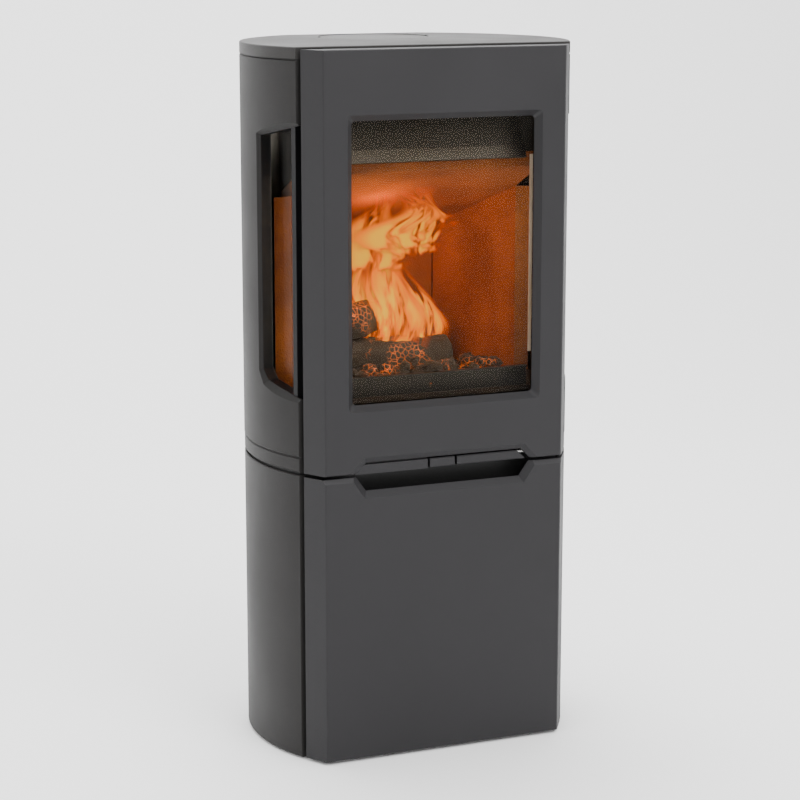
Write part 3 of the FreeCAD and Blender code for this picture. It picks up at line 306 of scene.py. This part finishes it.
# The board's colour ramp is painted glow: the fire's orange light painted into the board's own
# grey-brown.
glow_tinted_board = nodes.new("ShaderNodeValToRGB")
glow_tinted_board.color_ramp.elements[0].position = 0.0
glow_tinted_board.color_ramp.elements[0].color = (0.10, 0.026, 0.004, 1)
glow_tinted_board.color_ramp.elements[1].position = 0.6
glow_tinted_board.color_ramp.elements[1].color = (0.26, 0.075, 0.010, 1)
link(flakes.outputs["Distance"], glow_tinted_board.inputs["Fac"])
smoke = nodes.new("ShaderNodeValToRGB")
smoke.color_ramp.elements[0].position = 0.35
smoke.color_ramp.elements[0].color = (0.35, 0.30, 0.28, 1)
smoke.color_ramp.elements[1].position = 0.65
smoke.color_ramp.elements[1].color = (1, 1, 1, 1)
link(soot.outputs["Fac"], smoke.inputs["Fac"])
mix = nodes.new("ShaderNodeMix")
mix.data_type = "RGBA"
mix.blend_type = "MULTIPLY"
mix.inputs["Factor"].default_value = 1.0
link(glow_tinted_board.outputs["Color"], mix.inputs[6])
link(smoke.outputs["Color"], mix.inputs[7])
link(mix.outputs[2], shader.inputs["Base Color"])
bump = nodes.new("ShaderNodeBump")
bump.inputs["Strength"].default_value = 0.35
bump.inputs["Distance"].default_value = 0.0012
link(flakes.outputs["Distance"], bump.inputs["Height"])
link(bump.outputs["Normal"], shader.inputs["Normal"])
dress(brick_board_fire_glow, "left_brick", "right_brick", "back_brick", "baffle")

# The hearth plate and its grate are bare cast iron under the fire, rough and
# dark brown with scale.
scaled_iron = painted("scaled_iron", (0.012, 0.007, 0.005), 400, 0.4, (0.7, 0.9))
dress(scaled_iron, "hearth_plate", "grate")


# Split logs lie across the grate on a bed of embers. Each is a round of birch
# burnt to char, cracked into square scales that glow where they face the fire.
def char_finish():
    """Charred wood with glowing cracks."""
    finish, nodes, link, shader = new_finish("charred_wood")
    shader.inputs["Roughness"].default_value = 0.9
    place = nodes.new("ShaderNodeTexCoord")
    scales = nodes.new("ShaderNodeTexVoronoi")
    scales.feature = "DISTANCE_TO_EDGE"
    scales.inputs["Scale"].default_value = 130
    link(place.outputs["Object"], scales.inputs["Vector"])
    crack = nodes.new("ShaderNodeValToRGB")
    crack.color_ramp.elements[0].position = 0.0
    crack.color_ramp.elements[0].color = (1.0, 0.18, 0.004, 1)
    crack.color_ramp.elements[1].position = 0.06
    crack.color_ramp.elements[1].color = (0.0, 0.0, 0.0, 1)
    link(scales.outputs["Distance"], crack.inputs["Fac"])
    heat = nodes.new("ShaderNodeTexNoise")
    heat.inputs["Scale"].default_value = 18
    link(place.outputs["Object"], heat.inputs["Vector"])
    where = nodes.new("ShaderNodeValToRGB")
    where.color_ramp.elements[0].position = 0.54
    where.color_ramp.elements[0].color = (0, 0, 0, 1)
    where.color_ramp.elements[1].position = 0.68
    link(heat.outputs["Fac"], where.inputs["Fac"])
    glow = nodes.new("ShaderNodeMix")
    glow.data_type = "RGBA"
    glow.blend_type = "MULTIPLY"
    glow.inputs["Factor"].default_value = 1.0
    link(crack.outputs["Color"], glow.inputs[6])
    link(where.outputs["Color"], glow.inputs[7])
    link(glow.outputs[2], shader.inputs["Emission Color"])
    shader.inputs["Emission Strength"].default_value = 1.6
    tone = nodes.new("ShaderNodeValToRGB")
    tone.color_ramp.elements[0].color = (0.008, 0.006, 0.005, 1)
    tone.color_ramp.elements[1].color = (0.06, 0.045, 0.035, 1)
    link(heat.outputs["Fac"], tone.inputs["Fac"])
    link(tone.outputs["Color"], shader.inputs["Base Color"])
    bump = nodes.new("ShaderNodeBump")
    bump.inputs["Strength"].default_value = 0.8
    bump.inputs["Distance"].default_value = 0.002
    link(scales.outputs["Distance"], bump.inputs["Height"])
    link(bump.outputs["Normal"], shader.inputs["Normal"])
    return finish


CHAR = char_finish()
hearth_low, hearth_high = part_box("hearth_plate")
bed_level = hearth_high[2]


def burnt_log(name, start, end, radius, seed):
    """Irregular round log between two points."""
    start, end = Vector(start), Vector(end)
    axis = end - start
    length = axis.length
    turn = axis.to_track_quat("Z", "Y")
    mesh = bpy.data.meshes.new(name)
    build = bmesh.new()
    rings, around = 40, 40
    rows = []
    for step in range(rings + 1):
        along = step / rings
        row = []
        for count in range(around):
            angle = 2 * math.pi * count / around
            probe = Vector((math.cos(angle) * 1.3, math.sin(angle) * 1.3, along * 5 + seed))
            lump = 1 + 0.16 * noise.noise(probe) + 0.07 * noise.noise(probe * 4.3)
            flat = 0.86 if math.sin(angle + seed) > 0.5 else 1.0
            end_pull = min(1.0, 0.72 + 2.2 * min(along, 1 - along) ** 0.6)
            reach = radius * lump * flat * end_pull
            point = Vector((math.cos(angle) * reach, math.sin(angle) * reach, along * length))
            row.append(build.verts.new(start + turn @ point))
        rows.append(row)
    for lower, upper in zip(rows, rows[1:]):
        for count in range(around):
            after = (count + 1) % around
            build.faces.new((lower[count], lower[after], upper[after], upper[count]))
    for row, middle in ((rows[0], start), (rows[-1], end)):
        centre = build.verts.new(middle)
        for count in range(around):
            after = (count + 1) % around
            corners = (row[after], row[count], centre)
            build.faces.new(corners if row is rows[0] else corners[::-1])
    for face in build.faces:
        face.smooth = True
    build.to_mesh(mesh)
    build.free()
    log = bpy.data.objects.new(name, mesh)
    bpy.context.collection.objects.link(log)
    mesh.materials.append(CHAR)
    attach(log, "stove")


near = hearth_low[1]
burnt_log("log_rear", (-0.095, near + 0.19, bed_level + 0.045), (0.088, near + 0.215, bed_level + 0.05),
          0.033, 2.0)
burnt_log("log_front", (-0.112, near + 0.105, bed_level + 0.046), (0.062, near + 0.08, bed_level + 0.038),
          0.030, 5.5)
burnt_log("log_top", (-0.10, near + 0.085, bed_level + 0.092), (0.03, near + 0.205, bed_level + 0.106),
          0.027, 9.1)


# The ember bed is a heap of broken charcoal on the grate, black outside with
# orange heat between the lumps.
def ember_bed():
    """Heap of small angular lumps in one piece."""
    chance = random.Random(11)
    lumps = 420
    rim = 0.012
    build = bmesh.new()
    for _ in range(lumps):
        x = chance.uniform(-0.128, 0.128)
        y = near + chance.uniform(rim, 0.235)
        half = 0.150 - 0.10 * max(0.0, (y - near - 0.035)) / 0.25
        if abs(x) > half - rim:
            continue
        size = chance.uniform(0.005, 0.014)
        z = bed_level + chance.uniform(0.002, 0.034) * (1 - 0.35 * abs(x) / 0.14)
        lump = bmesh.ops.create_icosphere(build, subdivisions=1, radius=size)
        yaw = Matrix.Rotation(chance.uniform(0, 6.28), 3, "Z")
        spin = yaw @ Matrix.Rotation(chance.uniform(0, 6.28), 3, "X")
        for vert in lump["verts"]:
            jag = 1 + chance.uniform(-0.28, 0.2)
            vert.co = spin @ Vector((vert.co.x * 1.3, vert.co.y, vert.co.z * 0.7)) * jag
            vert.co += Vector((x, y, z + size * 0.5))
    mesh = bpy.data.meshes.new("ember_bed")
    build.to_mesh(mesh)
    build.free()
    bed = bpy.data.objects.new("ember_bed", mesh)
    bpy.context.collection.objects.link(bed)
    mesh.materials.append(CHAR)
    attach(bed, "stove")


ember_bed()


# Flames rise from the logs and roll forward under the baffle. Each is a thin
# curved tongue, brightest low in its middle and fading to red at its edges.
def flame_finish(name, seed, hot, clear):
    """Glowing, mostly transparent finish for one group of tongues."""
    finish, nodes, link, shader = new_finish(name)
    shader.inputs["Base Color"].default_value = (0, 0, 0, 1)
    shader.inputs["Roughness"].default_value = 1.0
    shader.inputs["Specular IOR Level"].default_value = 0.0
    place = nodes.new("ShaderNodeTexCoord")
    split = nodes.new("ShaderNodeSeparateXYZ")
    link(place.outputs["UV"], split.inputs["Vector"])
    stretch = nodes.new("ShaderNodeMapping")
    stretch.inputs["Scale"].default_value = (2.4, 1.5, 1)
    stretch.inputs["Location"].default_value = (seed, seed * 0.7, 0)
    link(place.outputs["UV"], stretch.inputs["Vector"])
    lick = nodes.new("ShaderNodeTexNoise")
    lick.inputs["Scale"].default_value = 1.6
    lick.inputs["Detail"].default_value = 3
    lick.inputs["Distortion"].default_value = 1.4
    link(stretch.outputs["Vector"], lick.inputs["Vector"])
    middle = nodes.new("ShaderNodeMath")
    middle.operation = "PINGPONG"
    middle.inputs[1].default_value = 0.5
    link(split.outputs["X"], middle.inputs[0])
    inner = nodes.new("ShaderNodeMapRange")
    inner.interpolation_type = "SMOOTHSTEP"
    inner.inputs["From Min"].default_value = 0.0
    inner.inputs["From Max"].default_value = 0.42
    link(middle.outputs["Value"], inner.inputs["Value"])
    rise = nodes.new("ShaderNodeMapRange")
    rise.interpolation_type = "SMOOTHSTEP"
    rise.inputs["From Min"].default_value = 1.0
    rise.inputs["From Max"].default_value = 0.25
    link(split.outputs["Y"], rise.inputs["Value"])
    foot = nodes.new("ShaderNodeMapRange")
    foot.interpolation_type = "SMOOTHSTEP"
    foot.inputs["From Min"].default_value = 0.0
    foot.inputs["From Max"].default_value = 0.12
    link(split.outputs["Y"], foot.inputs["Value"])
    body = nodes.new("ShaderNodeMath")
    body.operation = "MULTIPLY"
    link(inner.outputs["Result"], body.inputs[0])
    link(rise.outputs["Result"], body.inputs[1])
    shape = nodes.new("ShaderNodeMath")
    shape.operation = "MULTIPLY"
    link(body.outputs["Value"], shape.inputs[0])
    link(foot.outputs["Result"], shape.inputs[1])
    strands = nodes.new("ShaderNodeMapRange")
    strands.inputs["From Min"].default_value = clear
    strands.inputs["From Max"].default_value = clear + 0.28
    strands.interpolation_type = "SMOOTHSTEP"
    link(lick.outputs["Fac"], strands.inputs["Value"])
    heat = nodes.new("ShaderNodeMath")
    heat.operation = "MULTIPLY"
    link(shape.outputs["Value"], heat.inputs[0])
    link(strands.outputs["Result"], heat.inputs[1])
    tone = nodes.new("ShaderNodeValToRGB")
    ramp = tone.color_ramp
    ramp.elements[0].position = 0.0
    ramp.elements[0].color = (0.25, 0.012, 0.0, 1)
    ramp.elements[1].position = 0.85
    ramp.elements[1].color = (1.0, 0.50, 0.015, 1)
    step = ramp.elements.new(0.22)
    step.color = (0.75, 0.09, 0.0, 1)
    step = ramp.elements.new(0.52)
    step.color = (1.0, 0.24, 0.001, 1)
    link(heat.outputs["Value"], tone.inputs["Fac"])
    link(tone.outputs["Color"], shader.inputs["Emission Color"])
    shader.inputs["Emission Strength"].default_value = hot
    cover = nodes.new("ShaderNodeMapRange")
    cover.interpolation_type = "SMOOTHSTEP"
    cover.inputs["From Min"].default_value = 0.02
    cover.inputs["From Max"].default_value = 0.55
    cover.inputs["To Max"].default_value = 0.92
    link(heat.outputs["Value"], cover.inputs["Value"])
    link(cover.outputs["Result"], shader.inputs["Alpha"])
    return finish


low_fire = flame_finish("low_fire", 3.1, 1.5, 0.33)
tall_fire = flame_finish("tall_fire", 7.7, 1.0, 0.36)
roll_fire = flame_finish("roll_fire", 12.4, 1.3, 0.34)


def tongue(name, foot, width, tall, turn, lean, finish, seed):
    """One curved sheet of flame standing on a point, leaning as it rises."""
    across, up = 24, 48
    mesh = bpy.data.meshes.new(name)
    build = bmesh.new()
    sheet = build.loops.layers.uv.new("uv")
    rows = []
    for j in range(up + 1):
        v = j / up
        row = []
        for i in range(across + 1):
            u = i / across
            swell = 0.75 + 0.5 * math.sin(math.pi * min(1, v * 1.25 + 0.1)) - 0.45 * v
            x = (u - 0.5) * width * swell
            x += width * 0.22 * noise.noise(Vector((v * 2.6, seed, 0)))
            y = width * 0.25 * noise.noise(Vector((u * 1.5, v * 2.2, seed + 4)))
            y -= width * 0.5 * (u - 0.5) ** 2
            z = v * tall
            cos, sin = math.cos(turn), math.sin(turn)
            point = Vector((x * cos - y * sin, x * sin + y * cos, z))
            point += Vector((lean[0] * v * v, lean[1] * v * v, 0))
            row.append(build.verts.new(Vector(foot) + point))
        rows.append(row)
    for j in range(up):
        for i in range(across):
            corners = (rows[j][i], rows[j][i + 1], rows[j + 1][i + 1], rows[j + 1][i])
            face = build.faces.new(corners)
            face.smooth = True
            spots = ((i, j), (i + 1, j), (i + 1, j + 1), (i, j + 1))
            for loop, (a, b) in zip(face.loops, spots):
                loop[sheet].uv = (a / across, b / up)
    build.to_mesh(mesh)
    build.free()
    flame = bpy.data.objects.new(name, mesh)
    bpy.context.collection.objects.link(flame)
    mesh.materials.append(finish)
    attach(flame, "stove")


fire_foot = bed_level + 0.02
for count, (x, y, width, tall, turn, lean) in enumerate((
        (-0.060, 0.120, 0.110, 0.230, 0.3, (0.02, 0.01)),
        (-0.020, 0.090, 0.120, 0.250, -0.35, (-0.03, 0.02)),
        (0.025, 0.100, 0.090, 0.190, 0.1, (-0.05, 0.01)),
        (-0.085, 0.150, 0.100, 0.210, 1.2, (0.02, 0.0)),
        (0.000, 0.150, 0.130, 0.240, 0.8, (-0.03, 0.0)))):
    tongue("low_flame_%d" % count, (x, near + y, fire_foot), width, tall, turn, lean, low_fire,
           count * 3.3 + 1)
for count, (x, y, width, tall, turn, lean) in enumerate((
        (-0.050, 0.130, 0.090, 0.330, -0.2, (0.03, -0.02)),
        (-0.010, 0.160, 0.070, 0.340, 0.5, (-0.03, -0.03)),
        (-0.085, 0.110, 0.080, 0.300, 1.0, (0.02, 0.0)))):
    tongue("tall_flame_%d" % count, (x, near + y, fire_foot + 0.01), width, tall, turn, lean,
           tall_fire, count * 5.1 + 2)
for count, (x, y, z, width, tall, turn, lean) in enumerate((
        (-0.060, 0.090, 0.165, 0.150, 0.145, -0.2, (0.03, -0.02)),
        (0.000, 0.110, 0.185, 0.170, 0.130, 0.3, (0.04, -0.03)),
        (-0.095, 0.130, 0.160, 0.120, 0.150, 1.2, (-0.01, -0.01)),
        (-0.030, 0.060, 0.200, 0.180, 0.110, 0.0, (0.02, -0.005)))):
    tongue("roll_flame_%d" % count, (x, near + y, bed_level + z), width, tall, turn, lean,
           roll_fire, count * 4.7 + 3)

# The light of the fire itself, low over the logs and up under the baffle. The
# lamps light the firebox and are not seen themselves through the glass.
for name, place, power, size in (("fire_glow_low", (-0.02, near + 0.13, bed_level + 0.10), 2.6, 0.05),
                                 ("fire_glow_high", (-0.03, near + 0.12, bed_level + 0.25), 1.6, 0.06)):
    lamp = bpy.data.lights.new(name, "POINT")
    lamp.energy = power
    lamp.color = (1.0, 0.34, 0.03)
    lamp.shadow_soft_size = size
    spot = bpy.data.objects.new(name, lamp)
    spot.location = place
    spot.visible_glossy = False
    spot.visible_transmission = False
    bpy.context.collection.objects.link(spot)

# The floor and backdrop of the studio: one seamless pale sweep, flat under
# the stove, turning up behind it in a quarter round.
sweep_half = 7
sweep_front = -6.0
sweep_turn = 1.6
sweep_round = 1.4
sweep_top = 6.0
steps = 12
sweep = bpy.data.meshes.new("studio_sweep")
build = bmesh.new()
profile = [(sweep_front, 0.0), (sweep_turn, 0.0)]
for step in range(1, steps + 1):
    angle = math.pi / 2 * step / steps
    profile.append((sweep_turn + sweep_round * math.sin(angle),
                    sweep_round - sweep_round * math.cos(angle)))
profile.append((sweep_turn + sweep_round, sweep_top))
previous = None
for y, z in profile:
    pair = (build.verts.new((-sweep_half, y, z)), build.verts.new((sweep_half, y, z)))
    if previous:
        build.faces.new((previous[0], previous[1], pair[1], pair[0])).smooth = True
    previous = pair
build.to_mesh(sweep)
build.free()
studio = bpy.data.objects.new("studio_sweep", sweep)
studio.location = (0, 0, cad_box[0][2])
bpy.context.collection.objects.link(studio)
paper, nodes, link, shader = new_finish("studio_paper")
shader.inputs["Base Color"].default_value = (0.97, 0.97, 0.97, 1)
shader.inputs["Roughness"].default_value = 0.8
sweep.materials.append(paper)

# Soft studio light: a bright even surround, a soft box in front on the right,
# a weak one on the left and a large one above and behind.
world = bpy.data.worlds.new("studio_air")
world.use_nodes = True
surround = world.node_tree.nodes["Background"]
surround.inputs["Color"].default_value = (1, 1, 1, 1)
surround.inputs["Strength"].default_value = 1.8
bpy.context.scene.world = world
aim = Vector((0, 0, 0.55))
for name, place, power, size in (("key_box", (0.9, -2.6, 3.0), 95, 1.8),
                                 ("side_box", (-3.0, 0.8, 1.3), 8, 1.6),
                                 ("top_box", (0.0, 1.2, 3.4), 110, 2.0)):
    lamp = bpy.data.lights.new(name, "AREA")
    lamp.energy = power
    lamp.size = size
    box = bpy.data.objects.new(name, lamp)
    box.location = place
    box.rotation_mode = "QUATERNION"
    box.rotation_quaternion = (aim - Vector(place)).to_track_quat("-Z", "Y")
    bpy.context.collection.objects.link(box)

# The camera stands left of the middle and above the stove, looking down a
# little, with a long lens.
lens = bpy.data.cameras.new("studio_camera")
lens.sensor_width = 36
lens.lens = 99.76
lens.shift_y = -0.05
tilt = math.radians(90 - 11.112)
swing = -math.radians(21.696)
camera = bpy.data.objects.new("studio_camera", lens)
camera.rotation_mode = "XYZ"
camera.rotation_euler = (tilt, 0, swing)
camera.location = (-1.2247, -3.0878, 1.2120)
bpy.context.collection.objects.link(camera)
bpy.context.scene.camera = camera
